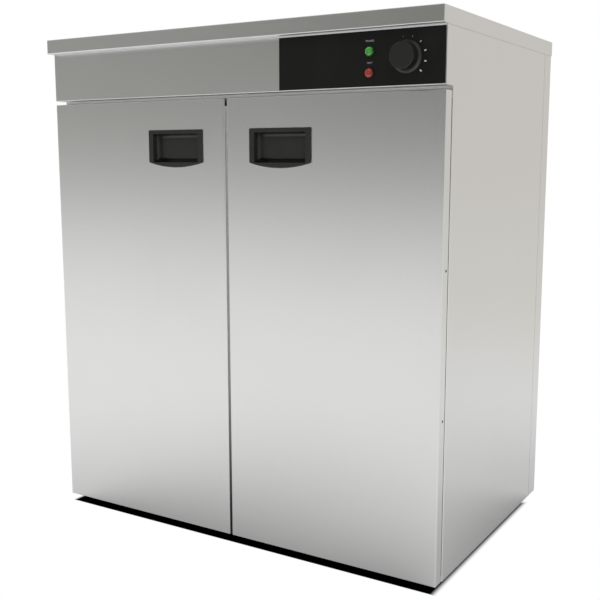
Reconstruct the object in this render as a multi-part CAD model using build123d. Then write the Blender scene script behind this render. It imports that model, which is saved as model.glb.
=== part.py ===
"""Two-door plate warmer cabinet: a heated, insulated steel cupboard.

Frame: X to the right, Y from front to back, Z up, in millimetres.
The origin is on the floor, under the middle of the whole object.
Depths named *_in are measured from the front plane of doors and fascia.
"""
import os
from math import cos, radians, sin

from build123d import *

# ---------------------------------------------------------------- overall
body_w = 750.0          # carcass, fascia and pair of doors
body_d = 475.0          # front of the doors to the back of the rear panel
height = 850.0          # floor to worktop
floor_clear = 12.0      # floor to the underside of the base
sheet = 1.0             # outer steel sheet
thin_sheet = 0.8        # liner, rear panel and door inner panel
bend_r = 2.0            # outside radius of folded corners
touch = 0.2             # clearance where one folded sheet slips over another
seat_gap = 0.3          # clearance of loose and soft pieces to their seats
part_fit = 0.05         # radial clearance of small pieces pushed into their holes
edge_share = 0.45       # rounding of a thin edge, as a share of its thickness

# ---------------------------------------------------------------- worktop
lip_h = 24.0            # height of the folded edge
lip_overhang = 15.0     # worktop edge in front of the doors
lip_r = 1.5             # outside radius of the worktop's edges
return_gap = 0.5        # folded-in edge under the front lip to the fascia
stiffener_w = 60.0
stiffener_h = 16.0
stiffener_in = (190.0, 370.0)

# ---------------------------------------------------------------- doors
door_t = 21.0
door_gap = 3.0          # door back to carcass front
door_top_gap = 6.0      # door top to fascia
meeting_gap = 4.5       # between the two doors
door_flange = 18.0      # folded-in edge at the back of the door skin
fascia_drop = 105.0     # worktop's top to the fascia's underside
fascia_r = 1.2          # outside radius of its folds

# recessed handle
handle_w = 112.8
handle_from_meeting = 43.85
handle_top_drop = 47.7      # door top to handle top
handle_side_h = 53.3        # straight side of the rim
handle_arch = 8.0           # lowest point of the arched lower edge below its corners
handle_rim_t = 2.0
recess_w = 93.5
recess_h = 46.4
recess_top_rim = 6.6
recess_depth = 10.5
recess_draft_deg = 3.0
recess_floor_r = 6.0
recess_ramp = 6.0           # rise of the sloping bottom wall from mouth to floor
cup_wall = 2.0

# small black parts of the doors
plug_r = 2.0
plug_in = 12.9              # depth of the edge plugs
plug_heights = (253.3, 474.4)
plug_shank = 4.0
buffer_r = 5.0
buffer_from_edge = 11.0
seal_t = 3.7                # meeting seal on the left door, clear of the right door
seal_in = 2.5
seal_w = 7.0
seal_top_drop = 12.0        # door top to the seal's end

# continuous hinge
hinge_leaf_w = 13.0
hinge_leaf_t = 0.7
hinge_pin_r = 0.7
hinge_wrap_gap = 0.1        # knuckle to door and carcass
hinge_step_gap = 0.35       # knuckle to the other leaf, and between knuckles
hinge_end = 10.0
hinge_knuckles = 15

# ---------------------------------------------------------------- carcass and liner
land = 34.0                 # side wall thickness, front flange of the side panel
rear_wall = 40.0            # back of the rear panel to the liner
cavity_bottom = 34.0        # underside of the base to the liner floor
cavity_top_drop = 34.0      # fascia underside to the liner top
rail_depth = 25.0
rail_rise = 12.0            # top rail above the fascia's underside
seam_from_rear = 36.0       # rear panel flange on the side
seam_gap = 0.8
tongue = 14.0
top_flange = 20.0
upstand = 20.0
top_insulation = 29.0
compartment_depth = 90.0
block_top_gap = 22.0        # rear insulation block to the worktop's stiffeners

# ---------------------------------------------------------------- controls
plate_w = 270.5
plate_from_side = 2.1
plate_bottom_rise = 1.8
plate_top_gap = 2.0         # to the worktop's lip
plate_t = 0.8
knob_from_side = 60.5
knob_skirt_r = 23.0
knob_skirt_top_r = 19.6
knob_skirt_t = 3.0
knob_r = 18.2
knob_top_r = 18.8
knob_projection = 19.0      # knob face to the front plane
knob_cap_t = 3.0            # plain cap in front of the flutes
knob_gap = 0.6
knob_edge_r = 1.0
flute_count = 7
flute_r = 4.5
flute_depth = 1.8           # below the grip's foot
flute_first_deg = 118.0     # from the X axis
spindle_r = 3.0
spindle_hole_r = 4.0
spindle_cap = 4.0           # knob material in front of the spindle
thermostat_w = 36.0
thermostat_d = 26.0
spindle_in_body = 12.0
pointer_r = 2.2
pointer_reach = 22.6        # knob's axis to the middle of the pointer
pointer_deg = 130.8         # pointer at the knob's off position, from the X axis
tab_w = 6.0                 # flat terminals of the thermostat
tab_l = 8.0
tab_t = 1.0
lamp_from_side = 118.3
lamp_spacing = 30.0
power_lamp_rise = 10.0      # above the knob's axis
lamp_bezel_r = 7.5
lamp_bezel_t = 2.2
lamp_barrel_r = 5.0
lamp_barrel_l = 22.0
lamp_hole_fit = 0.15
lamp_lens_r = 6.2
lamp_lens_rise = 2.2
lamp_lens_seat = 1.6
lamp_nut_r = 7.5
lamp_nut_t = 3.0
lamp_tab_l = 6.0
capillary_r = 1.0
capillary_bend_r = 8.0
capillary_run = 14.0
bulb_r = 3.0
bulb_l = 90.0
bulb_below = 20.0
clip_t = 1.5
clip_w = 12.0
terminal_block_size = (60.0, 18.0, 20.0)
terminal_block_from_side = 175.0
terminal_poles = 5
terminal_hole_r = 3.8

# ---------------------------------------------------------------- supply
gland_from_side = 75.0
gland_rise = 30.0
gland_bore_r = 4.5
gland_thread_r = 8.0
gland_hex_r = 12.0
gland_hex_l = 6.0
gland_dome_r = 9.5
gland_dome_l = 7.0
gland_thread_l = 12.0
gland_nut_t = 4.0
gland_hole_fit = 0.2
conduit_r = 8.0
conduit_wall = 1.0
riser_r = 5.0
riser_in = 60.0

# ---------------------------------------------------------------- heating
element_r = 4.0
element_rise = 22.0         # liner floor to the element's axis
element_runs = 4
element_pitch = 80.0
element_first_in = 95.0
element_end = 60.0          # turns stop this far from the side wall
element_tail = 14.0         # cold ends reach into the side wall
bracket_count = 3
bracket_span = 200.0
bracket_t = 1.2
bracket_foot = 10.0
bushing_r = 8.0
bushing_t = 3.0
pocket_margin = 18.0
guard_h = 50.0
guard_side_gap = 3.0
guard_front_in = 32.0
slot_w = 6.0
slot_l = 44.0
slot_pitch_x = 66.0
slot_pitch_y = 24.0
slot_margin = 24.0

# ---------------------------------------------------------------- shelves
upright_w = 12.0
upright_d = 6.0
upright_t = 1.0
upright_inset = 45.0
upright_pitch = 50.0
upright_slot_w = 6.0
upright_slot_h = 8.0
clip_ledge = 12.0
clip_ledge_t = 2.0
clip_fit = 0.2
lower_shelf_slot = 3
upper_shelf_slot = 7
shelf_rim_r = 3.0
shelf_wire_r = 1.75
shelf_wire_pitch = 28.0
shelf_side_gap = 1.5
shelf_front_in = 34.0
shelf_rear_gap = 10.0
weld = 0.4                  # wires sink into each other where they cross

# ---------------------------------------------------------------- catches, feet, screws
catch_w = 40.0
catch_h = 12.0
catch_l = 24.0
catch_from_meeting = 60.0
foot_r = 20.0
foot_top_r = 17.0
foot_inset = 60.0
foot_stud_r = 4.0
foot_stud_l = 6.0
screw_r = 1.75
screw_head_r = 4.0
screw_head_t = 2.2
screw_l = 8.0
screw_fit = 0.2
screw_count = 4
screw_side = 80.0
vent_count = 8
vent_w = 50.0
vent_h = 4.0
vent_pitch = 62.0
vent_drop = 8.0             # below the worktop's lip

# ---------------------------------------------------------------- derived places
half_w = body_w / 2
gland_out = gland_hex_l + gland_dome_l
front_y = knob_projection - (knob_projection + body_d + gland_out) / 2
rear_y = front_y + body_d
carcass_y = front_y + door_t + door_gap
door_back_y = front_y + door_t
base_z = floor_clear
lid_under_z = height - sheet
lip_z = height - lip_h
fascia_bottom_z = height - fascia_drop
door_z0 = base_z
door_z1 = fascia_bottom_z - door_top_gap
hinge_x = half_w - bend_r
hinge_y = door_back_y + door_gap / 2
knuckle_r = door_gap / 2 - hinge_wrap_gap
cavity_x = half_w - land            # outer face of the liner's sides
cavity_z0 = base_z + cavity_bottom
cavity_z1 = fascia_bottom_z - cavity_top_drop
liner_rear_y = rear_y - rear_wall   # back face of the liner's rear sheet
seam_y = rear_y - seam_from_rear
inner_x = cavity_x - thin_sheet     # clear half width of the cavity
inner_rear_y = liner_rear_y - thin_sheet
floor_z = cavity_z0 + thin_sheet
ceiling_z = cavity_z1 - thin_sheet
slab_x = half_w - 2 * sheet         # outer face of the side insulation
slab_rear_y = rear_y - thin_sheet - sheet
top_slab_z = cavity_z1 + sheet
compartment_z = top_slab_z + top_insulation
block_z1 = lid_under_z - stiffener_h - block_top_gap
bulkhead_y = carcass_y + sheet + compartment_depth
knob_x = half_w - knob_from_side
knob_z = (fascia_bottom_z + lip_z) / 2
lamp_x = half_w - lamp_from_side
power_lamp_z = knob_z + power_lamp_rise
heat_lamp_z = power_lamp_z - lamp_spacing
gland_x = half_w - gland_from_side
gland_z = compartment_z + gland_rise
element_z = floor_z + element_rise
riser_x = (cavity_x + slab_x) / 2
riser_y = front_y + riser_in
guard_z = floor_z + guard_h
element_ys = [front_y + element_first_in + i * element_pitch for i in range(element_runs)]
pocket_z1 = element_z + pocket_margin
upright_z0 = guard_z + seat_gap
upright_z1 = ceiling_z - seat_gap
upright_front_y = carcass_y + upright_inset
upright_rear_y = inner_rear_y - upright_inset
capillary_y = front_y + sheet + thermostat_d + capillary_run


# ---------------------------------------------------------------- helpers
def block(x0, x1, y0, y1, z0, z1):
    """A rectangular solid between two opposite corners."""
    return Pos((x0 + x1) / 2, (y0 + y1) / 2, (z0 + z1) / 2) * Box(x1 - x0, y1 - y0, z1 - z0)


def rod_x(y, z, r, x0, x1):
    return Pos((x0 + x1) / 2, y, z) * Rot(0, 90, 0) * Cylinder(r, x1 - x0)


def rod_y(x, z, r, y0, y1):
    return Pos(x, (y0 + y1) / 2, z) * Rot(90, 0, 0) * Cylinder(r, y1 - y0)


def rod_z(x, y, r, z0, z1):
    return Pos(x, y, (z0 + z1) / 2) * Cylinder(r, z1 - z0)


def hex_y(x, z, r, y0, y1):
    """A hexagonal nut body along Y; r is half the width across flats."""
    outline = Plane.XZ.offset(-y0) * Pos(x, z) * RegularPolygon(r, 6, major_radius=False)
    return extrude(outline, -(y1 - y0))


def mirrored(shape):
    return mirror(shape, about=Plane.YZ)


def group(shapes):
    """Separate solids that share one node."""
    solids = []
    for shape in shapes:
        solids.extend(shape.solids())
    return Compound(solids)


def centred(count, pitch):
    """Places of a row of count copies about zero."""
    return [(i - (count - 1) / 2) * pitch for i in range(count)]


def save(name, shape):
    export_step(shape, f"parts/{name}.step")


# ---------------------------------------------------------------- worktop and outer casing
def screw_xs():
    return centred(screw_count, (body_w - 2 * screw_side) / (screw_count - 1))


def lip_screw_z():
    return lip_z + lip_h / 2


def base_screw_z():
    return base_z + sheet + upstand / 2


def screw_holes(z):
    reach = (rear_y - 4 * sheet, rear_y + 4 * sheet)
    return [rod_y(x, z, screw_r + screw_fit, *reach) for x in screw_xs()]


def worktop():
    """Folded lid: top, four lips and an edge folded in under the front lip."""
    x1 = half_w + touch + sheet
    y0 = front_y - lip_overhang
    y1 = rear_y + touch + sheet
    lid = block(-x1, x1, y0, y1, lip_z, height)
    lid = fillet(lid.edges().filter_by(Axis.Z) + lid.edges().group_by(Axis.Z)[-1], lip_r)
    lid -= block(-x1 + sheet, x1 - sheet, y0 + sheet, y1 - sheet, lip_z - sheet, lid_under_z)
    lid += block(-x1 + lip_r, x1 - lip_r, y0, front_y - return_gap, lip_z, lip_z + sheet)
    fold = block(-x1, x1, y0, y0 + lip_r, lip_z, lip_z + lip_r)
    lid -= fold - rod_x(y0 + lip_r, lip_z + lip_r, lip_r, -x1, x1)
    return lid - screw_holes(lip_screw_z())


def worktop_stiffeners():
    """Two hat channels welded under the worktop."""
    x1 = half_w - sheet - top_flange - seat_gap
    hats = []
    for depth in stiffener_in:
        y0 = front_y + depth
        y1 = y0 + stiffener_w
        side = stiffener_w / 4
        hat = block(-x1, x1, y0, y1, lid_under_z - stiffener_h, lid_under_z)
        hat -= block(-x1, x1, y0 + side + sheet, y1 - side - sheet, lid_under_z - stiffener_h + sheet,
                     lid_under_z)
        hat -= block(-x1, x1, y0, y0 + side, lid_under_z - stiffener_h, lid_under_z - sheet)
        hat -= block(-x1, x1, y1 - side, y1, lid_under_z - stiffener_h, lid_under_z - sheet)
        hats.append(hat)
    return group(hats)


def control_holes(y0, y1):
    """Holes for both lamps and the thermostat spindle, through whatever lies between y0 and y1."""
    lamps = [rod_y(lamp_x, z, lamp_barrel_r + lamp_hole_fit, y0, y1) for z in (power_lamp_z, heat_lamp_z)]
    return lamps + [rod_y(knob_x, knob_z, spindle_hole_r, y0, y1)]


def control_fascia():
    """Folded tray, open at the back, that closes the front above the doors."""
    tray = block(-half_w, half_w, front_y, carcass_y, fascia_bottom_z, lid_under_z)
    front_edges = tray.faces().sort_by(Axis.Y)[0].edges()
    tray = fillet(front_edges, fascia_r)
    tray -= block(-half_w + sheet, half_w - sheet, front_y + sheet, carcass_y,
                  fascia_bottom_z + sheet, lid_under_z - sheet)
    return tray - control_holes(front_y - sheet, front_y + 2 * sheet)


def control_plate():
    x1 = half_w - plate_from_side
    z0 = fascia_bottom_z + plate_bottom_rise
    plate = block(x1 - plate_w, x1, front_y - plate_t, front_y, z0, lip_z - plate_top_gap)
    return plate - control_holes(front_y - 2 * plate_t, front_y + plate_t)


def right_side_panel():
    """Side sheet with a front flange, a top flange and a stepped tongue behind the rear seam."""
    panel = block(half_w - sheet, half_w, carcass_y, seam_y, base_z, lid_under_z)
    panel += block(cavity_x, half_w, carcass_y, carcass_y + sheet, base_z, lid_under_z)
    corner = panel.edges().filter_by(Axis.Z).sort_by_distance((half_w, carcass_y, height / 2))[0]
    panel = fillet(corner, bend_r)
    panel += block(half_w - sheet - top_flange, half_w - sheet / 2, carcass_y + sheet / 2, seam_y,
                   lid_under_z - sheet, lid_under_z)
    panel += block(half_w - thin_sheet - sheet, half_w - thin_sheet, seam_y - sheet, seam_y + tongue,
                   base_z, lid_under_z)
    return panel


def rear_panel():
    """Rear sheet whose side flanges wrap round to a seam on each side."""
    panel = block(-half_w, half_w, rear_y - thin_sheet, rear_y, base_z, lid_under_z)
    for x0, x1 in ((-half_w, -half_w + thin_sheet), (half_w - thin_sheet, half_w)):
        panel += block(x0, x1, seam_y + seam_gap, rear_y, base_z, lid_under_z)
    for x in (-half_w, half_w):
        corner = panel.edges().filter_by(Axis.Z).sort_by_distance((x, rear_y, height / 2))[0]
        panel = fillet(corner, thin_sheet)
    vent_z = lip_z - vent_drop
    for x in centred(vent_count, vent_pitch):
        panel -= block(x - vent_w / 2, x + vent_w / 2, rear_y - 2 * thin_sheet, rear_y + thin_sheet,
                       vent_z - vent_h / 2, vent_z + vent_h / 2)
    panel -= rod_y(gland_x, gland_z, gland_thread_r + gland_hole_fit, rear_y - 2 * thin_sheet,
                   rear_y + thin_sheet)
    return panel - screw_holes(lip_screw_z()) - screw_holes(base_screw_z())


def rear_panel_screws():
    screws = []
    for z, face in ((lip_screw_z(), rear_y + touch + sheet), (base_screw_z(), rear_y)):
        for x in screw_xs():
            head = rod_y(x, z, screw_head_r, face, face + screw_head_t)
            head = fillet(head.edges().sort_by(Axis.Y)[-1], screw_head_t / 2)
            screws.append(head + rod_y(x, z, screw_r, face - screw_l, face))
    return group(screws)


def foot_places():
    ys = (carcass_y + foot_inset, rear_y - foot_inset)
    return [(x, y) for x in (-half_w + foot_inset, half_w - foot_inset) for y in ys]


def base_panel():
    """Floor tray with upstands along the sides and the rear."""
    x1 = half_w - sheet
    y0 = carcass_y + sheet
    y1 = rear_y - thin_sheet
    tray = block(-x1, x1, y0, y1, base_z, base_z + sheet + upstand)
    tray -= block(-x1 + sheet, x1 - sheet, y0 - sheet, y1 - sheet, base_z + sheet, base_z + 2 * upstand)
    tongue_room = thin_sheet + sheet
    for side in (-1, 1):
        x_mid = side * (half_w - tongue_room / 2)
        tray -= block(x_mid - tongue_room / 2, x_mid + tongue_room / 2, seam_y - 2 * sheet, y1 + sheet,
                      base_z - sheet, base_z + 2 * upstand)
    tray -= [rod_z(x, y, foot_stud_r + touch, base_z - sheet, base_z + 2 * sheet) for x, y in foot_places()]
    return tray - screw_holes(base_screw_z())


def rubber_feet():
    feet = []
    for x, y in foot_places():
        pad = Pos(x, y, floor_clear / 2) * Cone(foot_r, foot_top_r, floor_clear)
        feet.append(pad + rod_z(x, y, foot_stud_r, floor_clear, floor_clear + foot_stud_l))
    return group(feet)


# ---------------------------------------------------------------- front rails
def catch_places():
    return (-catch_from_meeting, catch_from_meeting)


def catch_z():
    return (door_z1 + cavity_z1) / 2


def top_rail():
    """Angle across the top of the door opening, slotted for the catches."""
    face = block(-cavity_x, cavity_x, carcass_y, carcass_y + sheet, cavity_z1, fascia_bottom_z + rail_rise)
    face += block(-cavity_x, cavity_x, carcass_y, carcass_y + rail_depth, cavity_z1, cavity_z1 + sheet)
    for x in catch_places():
        face -= block(x - catch_w / 2 - touch, x + catch_w / 2 + touch, carcass_y - sheet,
                      carcass_y + 2 * sheet, catch_z() - catch_h / 2 - touch, catch_z() + catch_h / 2 + touch)
    return face - rod_z(knob_x, capillary_y, capillary_r + touch, cavity_z1 - sheet, cavity_z1 + 2 * sheet)


def bottom_rail():
    """Channel across the bottom of the door opening."""
    rail = block(-cavity_x, cavity_x, carcass_y, carcass_y + sheet, base_z, cavity_z0)
    rail += block(-cavity_x, cavity_x, carcass_y, carcass_y + rail_depth, cavity_z0 - sheet, cavity_z0)
    return rail + block(-cavity_x, cavity_x, carcass_y, carcass_y + rail_depth, base_z + sheet,
                        base_z + 2 * sheet)


def magnetic_catches():
    """Two catches behind the top rail; their faces stop just short of the doors."""
    catches = []
    for x in catch_places():
        face_y = door_back_y + seat_gap
        catches.append(block(x - catch_w / 2, x + catch_w / 2, face_y, face_y + catch_l,
                             catch_z() - catch_h / 2, catch_z() + catch_h / 2))
    return group(catches)


# ---------------------------------------------------------------- liner and insulation
def element_ends():
    return (element_ys[0], element_ys[-1])


def liner_side(right):
    wall = block(inner_x, cavity_x, carcass_y, liner_rear_y, cavity_z0, cavity_z1)
    if not right:
        return mirrored(wall)
    holes = [rod_x(y, element_z, element_r + touch, inner_x - sheet, cavity_x + sheet)
             for y in element_ends()]
    return wall - holes


def liner_top():
    sheet_top = block(-inner_x, inner_x, carcass_y, inner_rear_y, ceiling_z, cavity_z1)
    return sheet_top - rod_z(knob_x, capillary_y, capillary_r + touch, ceiling_z - sheet, cavity_z1 + sheet)


def liner_floor():
    return block(-inner_x, inner_x, carcass_y, inner_rear_y, cavity_z0, floor_z)


def liner_rear():
    return block(-inner_x, inner_x, inner_rear_y, liner_rear_y, cavity_z0, cavity_z1)


def terminal_pocket():
    """Room in the right wall for the element's cold ends and their wires."""
    y0 = element_ys[0] - pocket_margin
    y1 = element_ys[-1] + pocket_margin
    return block(cavity_x, slab_x, y0, y1, element_z - pocket_margin, pocket_z1)


def insulation_side(right):
    slab = block(cavity_x, slab_x, carcass_y + sheet, slab_rear_y, base_z + sheet, cavity_z1)
    if not right:
        return mirrored(slab)
    return slab - terminal_pocket() - rod_z(riser_x, riser_y, riser_r + touch, base_z, cavity_z1 + sheet)


def insulation_rear():
    slab = block(-cavity_x, cavity_x, liner_rear_y, slab_rear_y, base_z + sheet, cavity_z1)
    return slab - [rod_y(x, base_screw_z(), screw_r + seat_gap, rear_y - screw_l - seat_gap, rear_y)
                   for x in screw_xs()]


def insulation_top():
    """Slab over the liner with a higher block behind the control compartment."""
    slab = block(-slab_x, slab_x, carcass_y + sheet, slab_rear_y, top_slab_z, compartment_z)
    slab += block(-slab_x, slab_x, bulkhead_y, slab_rear_y, compartment_z, block_z1)
    slab -= rod_y(gland_x, gland_z, conduit_r + touch, bulkhead_y - sheet, rear_y)
    slab -= rod_y(gland_x, gland_z, gland_hex_r + 2 * sheet, rear_y - gland_thread_l, rear_y)
    slab -= rod_z(riser_x, riser_y, riser_r + touch, cavity_z1, compartment_z + sheet)
    slab -= rod_z(knob_x, capillary_y, capillary_r + touch, cavity_z1, compartment_z + sheet)
    for x in catch_places():
        slab -= block(x - catch_w / 2 - sheet, x + catch_w / 2 + sheet, carcass_y, carcass_y + catch_l,
                      top_slab_z - sheet, catch_z() + catch_h / 2 + sheet)
    return slab


def control_bulkhead():
    """Folded sheet that parts the control compartment from the insulation."""
    x1 = slab_x - touch
    floor = block(-x1, x1, carcass_y + sheet, bulkhead_y, compartment_z, compartment_z + sheet)
    floor += block(-x1, x1, bulkhead_y - sheet, bulkhead_y, compartment_z, block_z1)
    floor -= rod_y(gland_x, gland_z, conduit_r + touch, bulkhead_y - 2 * sheet, bulkhead_y + sheet)
    floor -= rod_z(riser_x, riser_y, riser_r + touch, compartment_z - sheet, compartment_z + 2 * sheet)
    return floor - rod_z(knob_x, capillary_y, capillary_r + touch, compartment_z - sheet,
                         compartment_z + 2 * sheet)


# ---------------------------------------------------------------- controls
def thermostat_body():
    y0 = front_y + sheet
    r = thermostat_w / 2
    body = block(knob_x - r, knob_x + r, y0, y0 + thermostat_d, knob_z - r, knob_z + r)
    body = fillet(body.edges().filter_by(Axis.Y), bend_r)
    body -= rod_y(knob_x, knob_z, spindle_r + part_fit, y0, y0 + spindle_in_body + touch)
    for x in (knob_x - r / 2, knob_x + r / 2):
        body += block(x - tab_w / 2, x + tab_w / 2, y0 + thermostat_d, y0 + thermostat_d + tab_l,
                      knob_z + r / 2, knob_z + r / 2 + tab_t)
    return body


def thermostat_capillary():
    """Capillary tube from the thermostat back, down through the liner top, and its bulb."""
    y0 = front_y + sheet + thermostat_d
    bulb_z1 = ceiling_z - bulb_below
    path = FilletPolyline((knob_x, y0, knob_z), (knob_x, capillary_y, knob_z),
                          (knob_x, capillary_y, bulb_z1), radius=capillary_bend_r)
    section = Plane((knob_x, y0, knob_z), z_dir=(0, 1, 0)) * Circle(capillary_r)
    tube = sweep(section, path=path)
    bulb = rod_z(knob_x, capillary_y, bulb_r, bulb_z1 - bulb_l, bulb_z1)
    return tube + fillet(bulb.edges(), capillary_r)


def bulb_clip():
    """Bracket from the right liner wall with an eye round the bulb."""
    z0 = ceiling_z - bulb_below - bulb_l / 2
    arm = block(knob_x - bulb_r - 2 * clip_t, inner_x, capillary_y - clip_w / 2, capillary_y + clip_w / 2,
                z0, z0 + clip_t)
    foot = block(inner_x - clip_t, inner_x, capillary_y - clip_w / 2, capillary_y + clip_w / 2,
                 z0 - clip_w, z0 + clip_t)
    return arm + foot - rod_z(knob_x, capillary_y, bulb_r + touch, z0 - sheet, z0 + 2 * clip_t)


def thermostat_spindle():
    y1 = front_y + sheet + spindle_in_body
    return rod_y(knob_x, knob_z, spindle_r, front_y - knob_projection + spindle_cap, y1)


def thermostat_knob():
    """Fluted knob with a bevelled skirt; the pointer is a nib on the skirt's edge."""
    face_y = front_y - knob_projection
    skirt_y = front_y - plate_t - knob_gap
    length = skirt_y - knob_skirt_t - face_y
    axis = Pos(knob_x, 0, knob_z) * Rot(90, 0, 0)
    skirt = Pos(0, skirt_y - knob_skirt_t / 2, 0) * axis * Cone(knob_skirt_r, knob_skirt_top_r, knob_skirt_t)
    grip = Pos(0, face_y + length / 2, 0) * axis * Cone(knob_r, knob_top_r, length)
    reach = knob_r - flute_depth + flute_r
    for index in range(flute_count):
        turn = radians(flute_first_deg + index * 360 / flute_count)
        grip -= rod_y(knob_x + reach * cos(turn), knob_z + reach * sin(turn), flute_r,
                      face_y + knob_cap_t, skirt_y - knob_skirt_t)
    grip = fillet(grip.faces().sort_by(Axis.Y)[0].edges(), knob_edge_r)
    aim = radians(pointer_deg)
    nib = rod_y(knob_x + pointer_reach * cos(aim), knob_z + pointer_reach * sin(aim), pointer_r,
                skirt_y - knob_skirt_t, skirt_y)
    knob = skirt + grip + nib
    return knob - rod_y(knob_x, knob_z, spindle_r + part_fit, face_y + spindle_cap - touch, front_y)


def lamp_bodies():
    """Two identical bodies: bezel in front of the plate, barrel through it, two tabs behind."""
    face = front_y - plate_t
    bodies = []
    for z in (power_lamp_z, heat_lamp_z):
        bezel = rod_y(lamp_x, z, lamp_bezel_r, face - lamp_bezel_t, face)
        bezel = fillet(bezel.edges().sort_by(Axis.Y)[0], lamp_bezel_t / 2)
        body = bezel + rod_y(lamp_x, z, lamp_barrel_r, face, face + lamp_barrel_l)
        body -= rod_y(lamp_x, z, lamp_lens_r, face - lamp_bezel_t, face - lamp_bezel_t + lamp_lens_seat)
        for side in (-1, 1):
            x = lamp_x + side * lamp_barrel_r / 2
            body += block(x - sheet / 2, x + sheet / 2, face + lamp_barrel_l - sheet,
                          face + lamp_barrel_l + lamp_tab_l, z - sheet, z + sheet)
        bodies.append(body)
    return group(bodies)


def lamp_lens(z):
    """Domed lens seated in the bezel."""
    face = front_y - plate_t - lamp_bezel_t
    lens = rod_y(lamp_x, z, lamp_lens_r - part_fit, face - lamp_lens_rise, face + lamp_lens_seat)
    return fillet(lens.edges().sort_by(Axis.Y)[0], 2 * edge_share * lamp_lens_rise)


def lamp_nuts():
    y0 = front_y + sheet
    nuts = []
    for z in (power_lamp_z, heat_lamp_z):
        nut = hex_y(lamp_x, z, lamp_nut_r, y0, y0 + lamp_nut_t)
        nuts.append(nut - rod_y(lamp_x, z, lamp_barrel_r + part_fit, y0 - sheet, y0 + 2 * lamp_nut_t))
    return group(nuts)


def terminal_block():
    w, d, h = terminal_block_size
    x0 = half_w - terminal_block_from_side
    y0 = bulkhead_y - sheet - d
    z0 = compartment_z + sheet
    body = block(x0 - w, x0, y0, y0 + d, z0, z0 + h)
    for i in range(terminal_poles):
        x = x0 - w * (i + 0.5) / terminal_poles
        body -= rod_z(x, y0 + d / 2, terminal_hole_r, z0 + h / 2, z0 + h + sheet)
    return body


# ---------------------------------------------------------------- supply
def cable_gland():
    """Gland body through the rear panel: hexagon and dome outside, thread inside, bore for the cable."""
    inner = rear_y - thin_sheet - gland_thread_l
    body = rod_y(gland_x, gland_z, gland_thread_r, inner, rear_y)
    body += hex_y(gland_x, gland_z, gland_hex_r, rear_y, rear_y + gland_hex_l)
    dome = rod_y(gland_x, gland_z, gland_dome_r, rear_y + gland_hex_l, rear_y + gland_out)
    body += fillet(dome.edges().sort_by(Axis.Y)[-1], bend_r)
    return body - rod_y(gland_x, gland_z, gland_bore_r, inner - sheet, rear_y + gland_out + sheet)


def gland_nut():
    y1 = rear_y - thin_sheet
    nut = hex_y(gland_x, gland_z, gland_hex_r, y1 - gland_nut_t, y1)
    return nut - rod_y(gland_x, gland_z, gland_thread_r + part_fit, y1 - 2 * gland_nut_t, rear_y)


def wiring_conduits():
    """Tube for the supply wires along the top, and a riser in the right wall down to the element."""
    y1 = rear_y - thin_sheet - gland_thread_l
    supply = rod_y(gland_x, gland_z, conduit_r, bulkhead_y - sheet, y1)
    supply -= rod_y(gland_x, gland_z, conduit_r - conduit_wall, bulkhead_y - 2 * sheet, y1 + sheet)
    riser = rod_z(riser_x, riser_y, riser_r, cavity_z0, compartment_z + sheet)
    riser -= rod_z(riser_x, riser_y, riser_r - conduit_wall, base_z, compartment_z + 2 * sheet)
    return group([supply, riser])


# ---------------------------------------------------------------- heating
def element_route():
    """Corner points of the serpentine, from one cold end to the other."""
    x_out = cavity_x + element_tail
    x_turn = cavity_x - element_end
    points = [(x_out, element_ys[0], element_z)]
    side = -1
    for low, high in zip(element_ys, element_ys[1:]):
        points.append((side * x_turn, low, element_z))
        points.append((side * x_turn, high, element_z))
        side = -side
    points.append((x_out, element_ys[-1], element_z))
    return points


def heating_element():
    route = element_route()
    path = FilletPolyline(*route, radius=edge_share * element_pitch)
    section = Plane(route[0], z_dir=(-1, 0, 0)) * Circle(element_r)
    return sweep(section, path=path)


def element_brackets():
    """Upright strips on the liner floor with half-round seats under each run of the element."""
    y0 = element_ys[0] - element_pitch / 4
    y1 = element_ys[-1] + element_pitch / 4
    strips = []
    for x in centred(bracket_count, bracket_span):
        strip = block(x - bracket_t / 2, x + bracket_t / 2, y0, y1, floor_z, element_z)
        strip += block(x - bracket_t / 2, x + bracket_foot, y0, y1, floor_z, floor_z + bracket_t)
        strip -= [rod_x(y, element_z, element_r + touch / 2, x - bracket_t, x + bracket_t)
                  for y in element_ys]
        strips.append(strip)
    return group(strips)


def element_bushings():
    """Flanged bushings that carry the element's ends in the right liner wall."""
    bushings = []
    for y in element_ends():
        ring = rod_x(y, element_z, bushing_r, inner_x - bushing_t, inner_x)
        bushings.append(ring - rod_x(y, element_z, element_r + touch / 2, inner_x - 2 * bushing_t, cavity_x))
    return group(bushings)


def element_guard():
    """Slotted tray turned upside down over the element: the lowest plate deck."""
    x1 = inner_x - guard_side_gap
    y0 = front_y + guard_front_in
    y1 = inner_rear_y - guard_side_gap
    tray = block(-x1, x1, y0, y1, floor_z, guard_z)
    tray = fillet(tray.edges().group_by(Axis.Z)[-1], bend_r)
    tray -= block(-x1 + sheet, x1 - sheet, y0 + sheet, y1 - sheet, floor_z - sheet, guard_z - sheet)
    for y in element_ends():
        tray -= block(x1 - 2 * sheet, x1 + sheet, y - bushing_r, y + bushing_r, floor_z - sheet,
                      element_z + bushing_r)
    columns = int((2 * x1 - 2 * slot_margin - slot_l) / slot_pitch_x) + 1
    rows = int((y1 - y0 - 2 * slot_margin) / slot_pitch_y) + 1
    slot = Box(slot_l, slot_w, 4 * sheet)
    slot = fillet(slot.edges().filter_by(Axis.Z), edge_share * slot_w)
    slots = [Pos(x, (y0 + y1) / 2 + y, guard_z) * slot
             for x in centred(columns, slot_pitch_x) for y in centred(rows, slot_pitch_y)]
    return tray - slots


# ---------------------------------------------------------------- shelves
def slot_z(index):
    """Middle height of one slot of the uprights."""
    return upright_z0 + (index + 0.5) * upright_pitch


def upright_ys():
    return (upright_front_y, upright_rear_y)


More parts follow.
